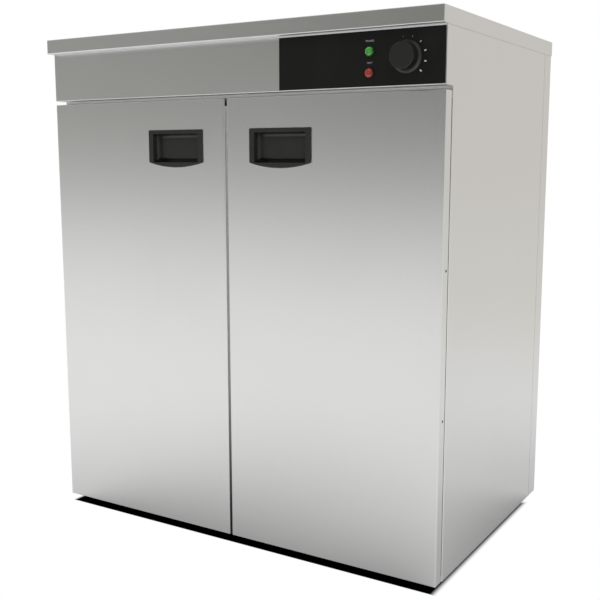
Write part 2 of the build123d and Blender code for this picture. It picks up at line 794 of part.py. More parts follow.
def shelf_uprights():
    """Slotted channels on the liner sides, two on each side."""
    count = int((upright_z1 - upright_z0) / upright_pitch)
    uprights = []
    for y in upright_ys():
        x0 = inner_x - upright_d
        channel = block(x0, inner_x, y - upright_w / 2, y + upright_w / 2, upright_z0, upright_z1)
        channel -= block(x0 + upright_t, inner_x, y - upright_w / 2 + upright_t,
                         y + upright_w / 2 - upright_t, upright_z0, upright_z1)
        for i in range(count):
            z = slot_z(i)
            channel -= block(x0 - upright_t, x0 + 2 * upright_t, y - upright_slot_w / 2,
                             y + upright_slot_w / 2, z - upright_slot_h / 2, z + upright_slot_h / 2)
        uprights += [channel, mirrored(channel)]
    return group(uprights)


def ledge_z(index):
    """Top of the clips hung in one slot row."""
    return slot_z(index) + upright_slot_h / 2 - clip_fit


def shelf_clips():
    """A ledge with a nose in the upright's slot, four for each shelf."""
    clips = []
    for index in (lower_shelf_slot, upper_shelf_slot):
        z1 = ledge_z(index)
        for y in upright_ys():
            x0 = inner_x - upright_d
            width = upright_slot_w / 2 - clip_fit
            clip = block(x0 - clip_ledge, x0, y - upright_w / 2, y + upright_w / 2, z1 - clip_ledge_t, z1)
            clip += block(x0 - clip_ledge_t, x0 + 3 * upright_t, y - width, y + width,
                          z1 - upright_slot_h + 2 * clip_fit, z1)
            clips += [clip, mirrored(clip)]
    return group(clips)


def wire_shelf(index):
    """Welded wire grid: a rim of thick wire, cross wires on top of it."""
    z = ledge_z(index) + seat_gap + shelf_rim_r
    x1 = inner_x - upright_d - shelf_side_gap - shelf_rim_r
    y0 = front_y + shelf_front_in + shelf_rim_r
    y1 = inner_rear_y - shelf_rear_gap - shelf_rim_r
    corner = 4 * shelf_rim_r
    path = FilletPolyline((x1, y0, z), (x1, y1, z), (-x1, y1, z), (-x1, y0, z), close=True, radius=corner)
    start = path @ 0
    section = Plane(start, z_dir=path % 0) * Circle(shelf_rim_r)
    grid = sweep(section, path=path)
    count = int((2 * x1 - 2 * corner) / shelf_wire_pitch) + 1
    wire_z = z + shelf_rim_r + shelf_wire_r - weld
    for x in centred(count, shelf_wire_pitch):
        grid += rod_y(x, wire_z, shelf_wire_r, y0 - shelf_rim_r / 2, y1 + shelf_rim_r / 2)
    for y in (y0 + (y1 - y0) / 3, y0 + 2 * (y1 - y0) / 3):
        grid += rod_x(y, z + weld, shelf_rim_r, -x1, x1)
    return grid


# ---------------------------------------------------------------- doors (right hand; the left is its mirror)
def door_edges():
    """Meeting edge and hinge edge of the right door, in X."""
    return (meeting_gap / 2, half_w)


def handle_centre_x():
    return door_edges()[0] + handle_from_meeting + handle_w / 2


def recess_z():
    """Middle height of the handle's recess."""
    return door_z1 - handle_top_drop - recess_top_rim - recess_h / 2


def cup_block(margin, depth):
    """The body of the handle cup behind the door's front, grown by a margin."""
    x = handle_centre_x()
    w = recess_w / 2 + cup_wall + margin
    h = recess_h / 2 + cup_wall + margin
    return block(x - w, x + w, front_y - sheet, front_y + depth, recess_z() - h, recess_z() + h)


def door_skin():
    """Folded tray with edges turned in at the back and a handle cut-out."""
    x0, x1 = door_edges()
    skin = block(x0, x1, front_y, door_back_y, door_z0, door_z1)
    skin = fillet(skin.edges(), bend_r)
    skin -= block(x0 + sheet, x1 - sheet, front_y + sheet, door_back_y - sheet, door_z0 + sheet,
                  door_z1 - sheet)
    skin -= block(x0 + door_flange, x1 - door_flange, front_y + 2 * sheet, door_back_y + sheet,
                  door_z0 + door_flange, door_z1 - door_flange)
    skin -= cup_block(touch, door_t / 2)
    skin -= [rod_x(front_y + plug_in, door_z0 + z, plug_r + part_fit, edge - 2 * sheet, edge + 2 * sheet)
             for z in plug_heights for edge in door_edges()]
    return skin


def door_inner_panel():
    x0, x1 = door_edges()
    inset = sheet + touch
    y1 = door_back_y - sheet
    return block(x0 + inset, x1 - inset, y1 - thin_sheet, y1, door_z0 + inset, door_z1 - inset)


def door_core():
    """Insulation between skin and inner panel, cut out for the handle and the plugs."""
    x0, x1 = door_edges()
    inset = sheet
    y1 = door_back_y - sheet - thin_sheet
    core = block(x0 + inset, x1 - inset, front_y + sheet, y1, door_z0 + inset, door_z1 - inset)
    core -= cup_block(touch, door_t)
    core -= [rod_x(front_y + plug_in, door_z0 + z, plug_r, edge - 2 * plug_shank, edge + 2 * plug_shank)
             for z in plug_heights for edge in door_edges()]
    return core


def handle_outline():
    """Rim outline in the door's plane: straight top and sides, arched lower edge."""
    x = handle_centre_x()
    z1 = door_z1 - handle_top_drop
    z0 = z1 - handle_side_h
    w = handle_w / 2
    sides = Polyline((x + w, z0), (x + w, z1), (x - w, z1), (x - w, z0))
    arch = ThreePointArc((x - w, z0), (x, z0 - handle_arch), (x + w, z0))
    return make_face(sides + arch)


def recess_tool():
    """The hollow of the handle: drafted walls, a sloping bottom and a floor with wide radii."""
    mouth = Plane.XZ.offset(-front_y + handle_rim_t) * Pos(handle_centre_x(), recess_z())
    outline = mouth * Rectangle(recess_w, recess_h)
    tool = extrude(outline, -(recess_depth + handle_rim_t), taper=recess_draft_deg)
    z0 = recess_z() - recess_h / 2
    floor_y = front_y + recess_depth
    mouth_y = front_y - handle_rim_t
    wedge = Plane.YZ * Polyline((mouth_y, z0), (floor_y, z0 + recess_ramp), (floor_y, z0), close=True)
    tool -= Pos(handle_centre_x(), 0, 0) * extrude(make_face(wedge), recess_w, both=True)
    return fillet(tool.faces().sort_by(Axis.Y)[-1].edges(), recess_floor_r)


def handle_cup():
    """Moulded cup: a rim proud of the door and a recess."""
    rim = extrude(Plane.XZ.offset(-front_y) * handle_outline(), handle_rim_t)
    rim = fillet(rim.edges().filter_by(Axis.Y), bend_r)
    rim = fillet(rim.faces().sort_by(Axis.Y)[0].edges(), edge_share * handle_rim_t)
    cup = rim + (cup_block(0, recess_depth + cup_wall) & block(-body_w, body_w, front_y, rear_y, 0, height))
    return cup - recess_tool()


def meeting_seal():
    """Strip on the left door's meeting edge, below an open stretch at the top."""
    x0 = -door_edges()[0]
    return block(x0, x0 + seal_t, front_y + seal_in, front_y + seal_in + seal_w,
                 door_z0 + bend_r, door_z1 - seal_top_drop)


def door_rubbers():
    """Edge plugs and the two buffers that meet the rails."""
    x0, x1 = door_edges()
    rubbers = []
    for z in plug_heights:
        y = front_y + plug_in
        rubbers.append(rod_x(y, door_z0 + z, plug_r, x0 - touch, x0 + plug_shank))
        rubbers.append(rod_x(y, door_z0 + z, plug_r, x1 - plug_shank, x1 + touch))
    for z in (catch_z(), (door_z0 + cavity_z0) / 2):
        rubbers.append(rod_y(x0 + buffer_from_edge, z, buffer_r, door_back_y, carcass_y - seat_gap))
    return group(rubbers)


# ---------------------------------------------------------------- hinges (right hand)
def hinge_span(index):
    """Lowest and highest point of one knuckle."""
    length = (door_z1 - door_z0 - 2 * hinge_end) / hinge_knuckles
    z0 = door_z0 + hinge_end + index * length
    return z0 + hinge_step_gap / 2, z0 + length - hinge_step_gap / 2


def hinge_leaf(on_door):
    """Leaf flat on the door back or the carcass front, with every second knuckle."""
    side = -1 if on_door else 1
    flat = hinge_y + side * door_gap / 2
    inner = flat - side * hinge_leaf_t
    y0, y1 = min(flat, inner), max(flat, inner)
    strip_x = hinge_x - knuckle_r - hinge_step_gap
    leaf = block(strip_x - hinge_leaf_w, strip_x, y0, y1, door_z0 + hinge_end, door_z1 - hinge_end)
    for index in range(1 if on_door else 0, hinge_knuckles, 2):
        z0, z1 = hinge_span(index)
        tangent = hinge_y + side * knuckle_r
        tab = block(strip_x - hinge_leaf_t, hinge_x, min(tangent, inner), max(tangent, inner), z0, z1)
        ring = rod_z(hinge_x, hinge_y, knuckle_r, z0, z1)
        leaf += (tab + ring) - rod_z(hinge_x, hinge_y, hinge_pin_r + part_fit, z0, z1)
    return leaf


def hinge_pin():
    return rod_z(hinge_x, hinge_y, hinge_pin_r, door_z0 + hinge_end, door_z1 - hinge_end)


# ---------------------------------------------------------------- all pieces
def pieces():
    """Every node and its shape."""
    skin, panel, core, cup = door_skin(), door_inner_panel(), door_core(), handle_cup()
    rubbers, door_leaf, frame_leaf, pin = door_rubbers(), hinge_leaf(True), hinge_leaf(False), hinge_pin()
    side = right_side_panel()
    return {
        "worktop": worktop(),
        "worktop_stiffeners": worktop_stiffeners(),
        "control_fascia": control_fascia(),
        "control_plate": control_plate(),
        "left_side_panel": mirrored(side),
        "right_side_panel": side,
        "rear_panel": rear_panel(),
        "rear_panel_screws": rear_panel_screws(),
        "base_panel": base_panel(),
        "rubber_feet": rubber_feet(),
        "top_rail": top_rail(),
        "bottom_rail": bottom_rail(),
        "magnetic_catches": magnetic_catches(),
        "liner_left": liner_side(False),
        "liner_right": liner_side(True),
        "liner_top": liner_top(),
        "liner_floor": liner_floor(),
        "liner_rear": liner_rear(),
        "insulation_left": insulation_side(False),
        "insulation_right": insulation_side(True),
        "insulation_rear": insulation_rear(),
        "insulation_top": insulation_top(),
        "control_bulkhead": control_bulkhead(),
        "thermostat_body": thermostat_body(),
        "thermostat_capillary": thermostat_capillary(),
        "bulb_clip": bulb_clip(),
        "thermostat_spindle": thermostat_spindle(),
        "thermostat_knob": thermostat_knob(),
        "lamp_bodies": lamp_bodies(),
        "power_lamp_lens": lamp_lens(power_lamp_z),
        "heat_lamp_lens": lamp_lens(heat_lamp_z),
        "lamp_nuts": lamp_nuts(),
        "terminal_block": terminal_block(),
        "cable_gland": cable_gland(),
        "gland_nut": gland_nut(),
        "wiring_conduits": wiring_conduits(),
        "heating_element": heating_element(),
        "element_brackets": element_brackets(),
        "element_bushings": element_bushings(),
        "element_guard": element_guard(),
        "shelf_uprights": shelf_uprights(),
        "shelf_clips": shelf_clips(),
        "lower_shelf": wire_shelf(lower_shelf_slot),
        "upper_shelf": wire_shelf(upper_shelf_slot),
        "right_door_skin": skin,
        "right_door_inner_panel": panel,
        "right_door_core": core,
        "right_handle_cup": cup,
        "right_door_rubbers": rubbers,
        "right_hinge_door_leaf": door_leaf,
        "left_door_skin": mirrored(skin),
        "left_door_inner_panel": mirrored(panel),
        "left_door_core": mirrored(core),
        "left_handle_cup": mirrored(cup),
        "left_door_rubbers": mirrored(rubbers),
        "left_hinge_door_leaf": mirrored(door_leaf),
        "meeting_seal": meeting_seal(),
        "hinge_frame_leaves": group([frame_leaf, mirrored(frame_leaf)]),
        "hinge_pins": group([pin, mirrored(pin)]),
    }


os.makedirs("parts", exist_ok=True)
for node, shape in pieces().items():
    save(node, shape)
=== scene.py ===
# %% [markdown]
# # Dressing a plate warmer cabinet
#
# The imported model already has every sheet, hinge and shelf in its right place.
# This lesson gives those bodies the finish that the real cabinet has: satin
# steel outside, shiny steel inside, black moulded handles and knob, and two
# coloured lamps. Some finishes also carry painted light and shade. It then adds
# what no sheet metal drawing holds: the printed marks of the dial, and dark
# crosses of painted shade for the recesses of the rear screws.
#
# The bodies could be dressed with painted pictures. Here every finish is
# worked out from noise, position and edges instead, so that it stays sharp
# from near by and needs no file beside this one.

# %% Load the frame
import math

import bpy
from mathutils import Matrix, Vector


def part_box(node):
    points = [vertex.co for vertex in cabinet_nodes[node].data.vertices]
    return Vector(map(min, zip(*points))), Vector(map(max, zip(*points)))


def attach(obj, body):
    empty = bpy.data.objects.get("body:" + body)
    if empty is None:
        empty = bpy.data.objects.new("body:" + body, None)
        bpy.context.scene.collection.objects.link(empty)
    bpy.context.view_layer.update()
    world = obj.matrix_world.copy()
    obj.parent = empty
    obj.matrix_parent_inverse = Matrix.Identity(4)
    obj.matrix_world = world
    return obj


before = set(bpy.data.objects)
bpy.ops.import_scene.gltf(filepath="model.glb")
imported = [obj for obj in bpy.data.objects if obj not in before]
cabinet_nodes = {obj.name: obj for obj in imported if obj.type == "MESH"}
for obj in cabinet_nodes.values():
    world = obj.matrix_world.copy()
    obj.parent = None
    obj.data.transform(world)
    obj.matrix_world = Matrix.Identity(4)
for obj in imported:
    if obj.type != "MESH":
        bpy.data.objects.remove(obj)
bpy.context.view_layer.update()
MM = 0.001

# %% [markdown]
# ## The camera
#
# A camera is a point, a direction and a lens. It could be aimed at an empty
# object by a constraint, but a place and two angles say the same in plain
# numbers. The picture is square, so the lens is the focal length in pixels
# over 600, times the 36 mm sensor. The optical axis does not pass exactly
# through the middle of the frame, which the two small shifts take up. There
# is no depth of field, so the whole cabinet is sharp.

# %% Camera
PICTURE = 600.0
SENSOR_MM = 36.0
focal_px = 908.16
axis_px = (308.08, 297.36)
eye = Vector((0.87355, -1.41889, 0.64593))
yaw, pitch = -0.54639, -0.1526
look = Vector((math.sin(yaw) * math.cos(pitch), math.cos(yaw) * math.cos(pitch), math.sin(pitch)))

camera_data = bpy.data.cameras.new("camera")
camera_data.sensor_width = SENSOR_MM
camera_data.lens = focal_px / PICTURE * SENSOR_MM
camera_data.shift_x = (PICTURE / 2 - axis_px[0]) / PICTURE
camera_data.shift_y = (axis_px[1] - PICTURE / 2) / PICTURE
camera = bpy.data.objects.new("camera", camera_data)
camera.location = eye
camera.rotation_euler = look.to_track_quat("-Z", "Y").to_euler()
bpy.context.scene.collection.objects.link(camera)
bpy.context.scene.camera = camera
bpy.context.scene.view_settings.view_transform = "Standard"
print("camera lens", round(camera_data.lens, 2), "mm")

# %% [markdown]
# ## Small tools for node trees
#
# A material is a tree of nodes. It could be drawn by hand in the editor, but
# a script can be read and changed as a whole. Writing every node out is long,
# so `add` makes one node and sets its properties and sockets, where a pair
# (node, output) becomes a link, and `pick` finds a socket by its name or its
# number.


# %% Node tools
def add(tree, kind, props=None, **sockets):
    """One node. Names in sockets use _ for a space; a (node, output) pair is linked."""
    node = tree.nodes.new("ShaderNode" + kind)
    for name, value in (props or {}).items():
        setattr(node, name, value)
    for name, value in sockets.items():
        socket = pick(node.inputs, name)
        if isinstance(value, tuple) and isinstance(value[0], bpy.types.Node):
            tree.links.new(pick(value[0].outputs, value[1]), socket)
        else:
            socket.default_value = value
    return node


def pick(sockets, name):
    """A socket by its number, which is 0 or as a keyword i0, or by its name."""
    if isinstance(name, int):
        return sockets[name]
    if name[0] == "i" and name[1:].isdigit():
        return sockets[int(name[1:])]
    return sockets[name.replace("_", " ")]


print("node tools ready")

# %% [markdown]
# **Nodes that come back.** Sums, ramps, blends, noise and the place of a point
# are in nearly every tree. Each could be spelled out with `add`. A short name
# for each keeps the recipes below readable, and all but the last give back a
# pair that goes straight into the next node. The last gives back its node,
# because it has an output for each axis.


# %% Common nodes
def math_node(tree, operation, a, b=0.0, c=0.0):
    return (add(tree, "Math", {"operation": operation}, i0=a, i1=b, i2=c), "Value")


def ramp(tree, value, low, high, out_low=0.0, out_high=1.0, smooth=True):
    """Maps a value from one range to another, clamped, with soft or straight ends."""
    props = {"interpolation_type": "SMOOTHSTEP" if smooth else "LINEAR"}
    node = add(tree, "MapRange", props, Value=value, From_Min=low, From_Max=high,
               To_Min=out_low, To_Max=out_high)
    return (node, "Result")


def blend_colour(tree, factor, a, b):
    """From colour a to colour b. The colour sockets of this node are found by number."""
    node = add(tree, "Mix", {"data_type": "RGBA"}, i0=factor, i6=a, i7=b)
    return (node, 2)


def noise(tree, vector, scale, detail=3.0, roughness=0.5):
    node = add(tree, "TexNoise", None, Vector=vector, Scale=scale, Detail=detail, Roughness=roughness)
    return (node, 0)


def mirror_rays(tree, ray):
    """One for rays that come from a mirror or through glass, from a Light Path node."""
    return math_node(tree, "MAXIMUM", (ray, "Is Glossy Ray"), (ray, "Is Transmission Ray"))


def point_axes(tree):
    """The node whose X, Y and Z are those of the shaded point, in metres in the scene."""
    return add(tree, "SeparateXYZ", None, Vector=(add(tree, "NewGeometry"), "Position"))


print("common nodes ready")

# %% [markdown]
# ## Studio: floor, room and lamps
#
# The cabinet stands on a plain pale floor. Steel shows what stands around it,
# so the room matters more than the lamps: the doors reflect the bright floor
# in their lower part and the dim far end of the studio in their upper part.
# That room could be built of walls and panels. A world colour by direction
# does the same with two colours and a few ramps, and nothing of it stands in
# the way when a door swings. A pale haze low on the left shows in the front
# edge of the worktop. Light Path tells rays apart, so that the camera sees
# white, metal sees the room, and matt surfaces get one even fill.

# %% World
WHITE = (1.0, 1.0, 1.0, 1.0)
room_pale = (0.695, 0.672, 0.634, 1.0)
room_dim = (0.136, 0.142, 0.129, 1.0)
fill_level = 0.72
overhead_dimness = 0.55
haze_share = 0.32

world = bpy.data.worlds.new("studio")
world.use_nodes = True
bpy.context.scene.world = world
tree = world.node_tree
tree.nodes.clear()
way = add(tree, "TexCoord")
axes = add(tree, "SeparateXYZ", None, Vector=(way, "Generated"))
to_front = ramp(tree, math_node(tree, "MULTIPLY", (axes, "Y"), -1.0), 0.0, 0.98)
below_ceiling = ramp(tree, (axes, "Z"), 0.15, 0.95, 1.0, overhead_dimness)
above_horizon = ramp(tree, (axes, "Z"), 0.07, 0.16)
to_left = ramp(tree, (axes, "X"), -0.41, -0.62)
short_of_far_left = ramp(tree, (axes, "X"), -0.76, -0.66)
haze = math_node(tree, "MULTIPLY", above_horizon, to_left)
haze = math_node(tree, "MULTIPLY", haze, short_of_far_left)
dim = math_node(tree, "MULTIPLY", to_front, below_ceiling)
dim = math_node(tree, "MULTIPLY", dim, math_node(tree, "MULTIPLY_ADD", haze, -haze_share, 1.0))
room = blend_colour(tree, dim, room_pale, room_dim)
ray = add(tree, "LightPath")
mirror_ray = mirror_rays(tree, ray)
seen = blend_colour(tree, mirror_ray, (fill_level, fill_level, fill_level, 1.0), room)
seen = blend_colour(tree, (ray, "Is Camera Ray"), seen, WHITE)
sky = add(tree, "Background", None, Color=seen, Strength=1.0)
add(tree, "OutputWorld", None, Surface=(sky, "Background"))
print("room from", room_pale[:3], "to", room_dim[:3], "fill", fill_level)

# %% [markdown]
# ** Floor.** The cabinet stands on a wide sheet of plain paper. The sheet could
# be bent up behind into a backdrop, but the world colour already fills that
# part of the view, so one flat square is enough.

# %% Floor
floor_size = 9.0
floor_mesh = bpy.data.meshes.new("studio_floor")
corners = [(-1, -1, 0), (1, -1, 0), (1, 1, 0), (-1, 1, 0)]
floor_mesh.from_pydata([(x * floor_size, y * floor_size, z) for x, y, z in corners], [], [(0, 1, 2, 3)])
floor = bpy.data.objects.new("studio_floor", floor_mesh)
bpy.context.scene.collection.objects.link(floor)
print("floor", 2 * floor_size, "m wide")

# %% [markdown]
# ** Floor paper.** White to the camera. The cabinet stands only 12 mm above it,
# and under it the paper carries a painted shadow. Lamps alone would cast a wide
# grey shadow, so the painted one is a rectangle drawn by position: crisp along
# the front, with a soft fringe along the sides. What the steel picks up from the
# floor near its foot is painted shade too: the gentler fall-off of ambient
# occlusion with a long reach. In the steel the paper also shows painted shade,
# a little darker beside and behind the cabinet and close in front of the right
# door, and a painted warmer tint far behind it, where the front lamps no longer
# reach.

# %% Floor paper
mirror_reach = 0.85
far_pale = (0.86, 0.845, 0.79, 1.0)
paper_colour = (0.86, 0.86, 0.86, 1.0)
rear_light = 0.86
corner_shade = 0.14
base_low, base_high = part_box("base_panel")
door_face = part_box("right_door_skin")[0].y

floor_finish = bpy.data.materials.new("floor_paper")
floor_finish.use_nodes = True
tree = floor_finish.node_tree
tree.nodes.clear()
spot_axes = point_axes(tree)
# For each edge of the painted shadow: the side of the cabinet that it follows,
# and how many millimetres from that side the paper is fully dark and fully lit.
# lit is the painted shadow under the cabinet: 0 where it is dark, 1 where the paper is lit.
lit = 0.0
for side, dark, light, axis in ((base_high.x, -9.0, 3.0, "X"), (base_low.x, 9.5, 1.0, "X"),
                                (door_face, 1.0, -1.0, "Y"), (base_high.y, -55.0, -35.0, "Y")):
    fringe = ramp(tree, (spot_axes, axis), side + dark * MM, side + light * MM)
    lit = math_node(tree, "MAXIMUM", lit, fringe)
# Painted shade in the steel's view of the floor, from ambient occlusion near the cabinet.
wide = add(tree, "AmbientOcclusion", {"samples": 6}, Distance=mirror_reach)
near = ramp(tree, (wide, "AO"), 0.30, 1.0, 0.12, 1.0, smooth=False)
shade_behind = ramp(tree, (spot_axes, "Y"), -0.25, 0.45, 1.0, rear_light)
far_paper = ramp(tree, (spot_axes, "Y"), 0.55, 2.6)
ray = add(tree, "LightPath")
mirror_ray = mirror_rays(tree, ray)
mirror_light = math_node(tree, "MULTIPLY", near, shade_behind)
# Painted shade close in front of the right door, seen in the steel.
near_door = math_node(tree, "MULTIPLY", ramp(tree, (spot_axes, "Y"), -0.60, -0.30),
                      ramp(tree, (spot_axes, "Y"), -0.26, -0.20, 1.0, 0.0))
near_corner = math_node(tree, "MULTIPLY", near_door, ramp(tree, (spot_axes, "X"), 0.10, 0.40))
unshaded = math_node(tree, "MULTIPLY_ADD", near_corner, -corner_shade, 1.0)
mirror_light = math_node(tree, "MULTIPLY", mirror_light, unshaded)
strength = add(tree, "Mix", {"data_type": "FLOAT"}, i0=(ray, "Is Camera Ray"), i2=mirror_light, i3=lit)
far_tint = math_node(tree, "MULTIPLY", far_paper, math_node(tree, "SUBTRACT", 1.0, (ray, "Is Camera Ray")))
paper_glow = blend_colour(tree, far_tint, WHITE, far_pale)
glow = add(tree, "Emission", None, Color=paper_glow, Strength=(strength, 0))
paper = add(tree, "BsdfDiffuse", None, Color=paper_colour)
direct = math_node(tree, "MAXIMUM", mirror_ray, (ray, "Is Camera Ray"))
surface = add(tree, "MixShader", None, i0=direct, i1=(paper, 0), i2=(glow, 0))
add(tree, "OutputMaterial", None, Surface=(surface, 0))
floor_mesh.materials.append(floor_finish)
print("finish", floor_finish.name)

# %% [markdown]
# **Lamps.** Three square softboxes: a strong one in front on the right, and
# two weaker ones that keep the side and the left from going flat. Small lamps
# would leave hard spots on the plastic. In the steel the softboxes would show
# as bright squares, so glossy rays do not see them.


# %% Lamps
def softbox(name, position, target, size, watts):
    """A large square lamp that lights matt surfaces but does not show in the steel."""
    data = bpy.data.lights.new(name, "AREA")
    data.shape = "SQUARE"
    data.size = size
    data.energy = watts
    lamp = bpy.data.objects.new(name, data)
    lamp.location = position
    lamp.rotation_euler = (Vector(target) - Vector(position)).to_track_quat("-Z", "Y").to_euler()
    lamp.visible_glossy = False
    bpy.context.scene.collection.objects.link(lamp)


cabinet_middle = (0.0, 0.0, 0.45)
softbox("key_softbox", (1.9, -2.3, 2.6), cabinet_middle, size=1.6, watts=70.0)
softbox("side_softbox", (3.0, 0.8, 1.5), cabinet_middle, size=1.8, watts=30.0)
softbox("left_softbox", (-2.6, -1.6, 1.6), cabinet_middle, size=1.8, watts=22.0)
print("three softboxes")

# %% [markdown]
# ## Effects shared by several finishes
#
# Grain, marks and worn edges show on many pieces. Their nodes could be copied
# into each material, but a change would then have to be made many times. So
# each effect is a shader node group: a small tree with its own inputs and
# outputs, built once. A material places it with its own values. A group here
# gives only masks, tones and heights; the shader itself stays in the material.


# %% Group tools
def new_group(name, inputs, outputs):
    """An empty group. inputs are (name, default), numbers or vectors; outputs are names of numbers."""
    group = bpy.data.node_groups.new(name, "ShaderNodeTree")
    for label, default in inputs:
        kind = "NodeSocketVector" if isinstance(default, tuple) else "NodeSocketFloat"
        group.interface.new_socket(label, in_out="INPUT", socket_type=kind).default_value = default
    for label in outputs:
        group.interface.new_socket(label, in_out="OUTPUT", socket_type="NodeSocketFloat")
    entry = group.nodes.new("NodeGroupInput")
    leave = group.nodes.new("NodeGroupOutput")
    return group, entry, leave


def give(group, leave, **results):
    """Links results to the group's outputs."""
    for name, value in results.items():
        group.links.new(pick(value[0].outputs, value[1]), leave.inputs[name.replace("_", " ")])


def place(tree, group, **sockets):
    """A group in a material, with values for its inputs."""
    return add(tree, "Group", {"node_tree": group}, **sockets)


print("group tools ready")

# %% [markdown]
# **Polishing grain.** Sheet steel is polished with a belt that leaves fine
# lines in one direction. An anisotropic shader would stretch the highlights
# but show no lines. Noise that is squeezed across the lines and drawn out
# along them gives the lines themselves: `Stretch` holds how many lines a
# metre has along each axis.

# %% Polishing grain
grain, entry, leave = new_group(
    "polishing_grain", [("Stretch", (900.0, 900.0, 12.0)), ("Depth", 1.0)], ["Tone", "Roughness", "Height"])
here = add(grain, "TexCoord")
drawn = add(grain, "VectorMath", {"operation": "MULTIPLY"}, i0=(here, "Object"), i1=(entry, "Stretch"))
fine = noise(grain, (drawn, "Vector"), 1.0, 2.0, 0.6)
broad = noise(grain, (drawn, "Vector"), 0.30, 2.0, 0.55)
fine_off = math_node(grain, "SUBTRACT", fine, 0.5)
broad_off = math_node(grain, "SUBTRACT", broad, 0.5)
both = math_node(grain, "MULTIPLY_ADD", broad_off, 0.25, fine_off)
scaled = math_node(grain, "MULTIPLY", both, (entry, "Depth"))
give(grain, leave, Tone=math_node(grain, "MULTIPLY_ADD", scaled, 0.035, 1.0),
     Roughness=math_node(grain, "MULTIPLY", scaled, 0.06),
     Height=math_node(grain, "MULTIPLY_ADD", scaled, 0.5, 0.5))
print("group", grain.name)

# %% [markdown]
# **Handling marks.** A kitchen cabinet is wiped with a cloth and touched with
# fingers. That shows as soft clouds that are a little duller than the rest.
# A painted smear would come back on every sheet. A cloud noise, broken up by
# a streaky one, is different everywhere.

# %% Handling marks
marks, entry, leave = new_group("handling_marks", [("Size", 5.0), ("Amount", 0.5)], ["Mask"])
here = add(marks, "TexCoord")
cloud = noise(marks, (here, "Object"), (entry, "Size"), 5.0, 0.55)
wipe_scale = add(marks, "VectorMath", {"operation": "MULTIPLY"}, i0=(here, "Object"), i1=(30.0, 30.0, 9.0))
wipe = noise(marks, (wipe_scale, "Vector"), 1.0, 4.0, 0.6)
soft = ramp(marks, cloud, 0.42, 0.72)
streak = ramp(marks, wipe, 0.45, 0.75)
mixed = math_node(marks, "MULTIPLY", soft, math_node(marks, "MULTIPLY_ADD", streak, 0.6, 0.4))
give(marks, leave, Mask=math_node(marks, "MULTIPLY", mixed, (entry, "Amount")))
print("group", marks.name)

# %% [markdown]
# **Hairline scratches.** Use leaves a few scratches as thin as a hair. Cut
# grooves would cost many faces for what is only a glint. Here two sets of
# drawn-out noise at different slants give the lines, and a second noise cuts
# them off so that none runs on for ever.

# %% Hairline scratches
scratches, entry, leave = new_group("hairline_scratches", [("Density", 0.5)], ["Mask"])
here = add(scratches, "TexCoord")
found = None
for turn, stretch in (((0.3, 0.2, 0.5), (14.0, 260.0, 420.0)), ((-0.5, 0.35, -0.2), (380.0, 300.0, 11.0))):
    slant = add(scratches, "Mapping", None, Vector=(here, "Object"), Rotation=turn, Scale=stretch)
    line = noise(scratches, (slant, "Vector"), 1.0, 1.0, 0.5)
    thin = ramp(scratches, line, 0.735, 0.80)
    found = thin if found is None else math_node(scratches, "MAXIMUM", found, thin)
patch = ramp(scratches, noise(scratches, (here, "Object"), 9.0, 2.0, 0.5), 0.45, 0.65)
give(scratches, leave, Mask=math_node(
    scratches, "MULTIPLY", math_node(scratches, "MULTIPLY", found, patch), (entry, "Density")))
print("group", scratches.name)

# %% [markdown]
# **Edge rub.** Corners get polished or worn by hands. Painting each edge would
# have to be done again after every change of size. The Bevel node finds the
# edges by itself: it gives a rounded normal near an edge, and where that
# differs from the true normal, the point is close to an edge.

# %% Edge rub
edge_rub, entry, leave = new_group("edge_rub", [("Radius", 1.5 * MM), ("Amount", 1.0)], ["Mask"])
rounded = add(edge_rub, "Bevel", {"samples": 4}, Radius=(entry, "Radius"))
true_normal = add(edge_rub, "NewGeometry")
facing = add(edge_rub, "VectorMath", {"operation": "DOT_PRODUCT"}, i0=(rounded, "Normal"),
             i1=(true_normal, "Normal"))
turned = ramp(edge_rub, (facing, "Value"), 0.995, 0.90)
give(edge_rub, leave, Mask=math_node(edge_rub, "MULTIPLY", turned, (entry, "Amount")))
print("group", edge_rub.name)

# %% [markdown]
# **Moulded skin.** Plastic housings come from a spark-eroded mould and carry
# its fine pebbled skin, well under a millimetre from pebble to pebble. That is
# too fine to be modelled, so smooth Voronoi cells give a height for a bump,
# and a slow cloud gives the uneven tone of moulded plastic.

# %% Moulded skin
moulded_skin, entry, leave = new_group("moulded_skin", [("Scale", 1600.0)], ["Height", "Tone"])
here = add(moulded_skin, "TexCoord")
pebble = add(moulded_skin, "TexVoronoi", {"feature": "SMOOTH_F1"}, Vector=(here, "Object"),
             Scale=(entry, "Scale"))
cloud = noise(moulded_skin, (here, "Object"), 45.0, 3.0, 0.5)
cloud_off = math_node(moulded_skin, "SUBTRACT", cloud, 0.5)
give(moulded_skin, leave, Height=(pebble, "Distance"),
     Tone=math_node(moulded_skin, "MULTIPLY_ADD", cloud_off, 0.25, 1.0))
print("group", moulded_skin.name)

# %% [markdown]
# ## Finishes
#
# Every finish starts from one Principled shader. Numbers that are the same
# all over are set on its own sockets; only what changes over the surface is
# linked to it.


# %% Finish tools
def new_finish(name, **constants):
    """A material with its tree and its shader, whose constant sockets are set."""
    material = bpy.data.materials.new(name)
    material.use_nodes = True
    shader = material.node_tree.nodes["Principled BSDF"]
    for label, value in constants.items():
        pick(shader.inputs, label).default_value = value
    return material, material.node_tree, shader


def tint(tree, colour, factor):
    """A colour times a number that changes over the surface."""
    node = add(tree, "VectorMath", {"operation": "SCALE"}, i0=colour, Scale=factor)
    return (node, "Vector")


def connect(tree, shader, **links):
    """Links what changes over the surface to the shader's sockets."""
    for label, value in links.items():
        tree.links.new(pick(value[0].outputs, value[1]), pick(shader.inputs, label))


def raise_surface(tree, shader, height, strength, depth):
    """A height becomes a normal through a Bump node. The depth is in metres."""
    bump = add(tree, "Bump", None, Height=height, Strength=strength, Distance=depth)
    connect(tree, shader, Normal=(bump, "Normal"))


print("finish tools ready")

